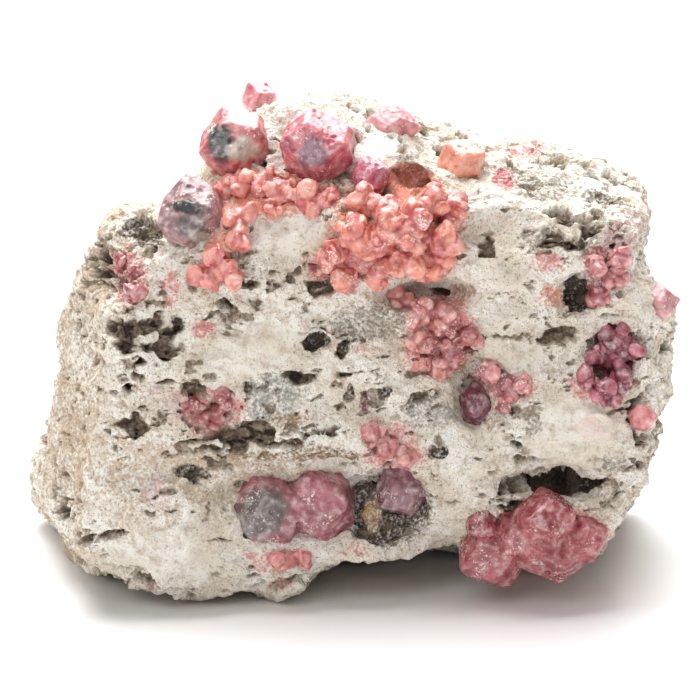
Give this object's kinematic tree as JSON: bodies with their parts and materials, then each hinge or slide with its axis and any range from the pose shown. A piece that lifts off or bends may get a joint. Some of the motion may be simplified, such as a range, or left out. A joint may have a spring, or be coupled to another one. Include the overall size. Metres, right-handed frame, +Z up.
{
  "type": "garnet on matrix",
  "caption": "A broken block of pale crumbly stone set with pink and purple garnet crystals, some large with flat faces and some in crusts of small ones, resting on its flat foot",
  "frame": {"origin": "centre of the bounding box, at the level the specimen rests on", "axes": "+Z up, +X to the right along the garnet face, +Y away from someone looking at the garnet face"},
  "size_m": [0.1038, 0.0696, 0.0734],
  "materials": {
    "matrix": "dull, granular and crumbly, cream to white with grey and brown stains",
    "pink_garnet": "glassy flat faces, raspberry pink, slightly see-through",
    "coral_garnet": "glassy, coral pink, slightly see-through",
    "red_garnet": "glassy, deep raspberry red",
    "plum_garnet": "glassy, dark purple",
    "grey_garnet": "glassy, purplish grey"
  },
  "bodies": {
    "root": {"matrix": "matrix", "garnet_crest": "pink_garnet", "garnet_upper_left": "pink_garnet", "garnet_left": "grey_garnet", "garnet_top": "pink_garnet", "garnet_ridge": "pink_garnet", "garnet_magenta": "red_garnet", "garnet_coral": "coral_garnet", "garnet_right_edge": "pink_garnet", "garnet_right_lower": "pink_garnet", "garnet_cleft": "plum_garnet", "garnet_hollow": "plum_garnet", "garnet_pair": "grey_garnet", "garnet_foot": "red_garnet", "crust_upper": "coral_garnet", "crust_left": "coral_garnet", "crust_centre": "coral_garnet", "crust_cleft": "pink_garnet", "crust_middle": "pink_garnet", "crust_right": "plum_garnet", "crust_upper_right": "pink_garnet", "crust_west": "red_garnet", "crust_lower_middle": "pink_garnet", "crust_lower_left": "pink_garnet", "crust_base": "pink_garnet"}
  },
  "joints": []
}
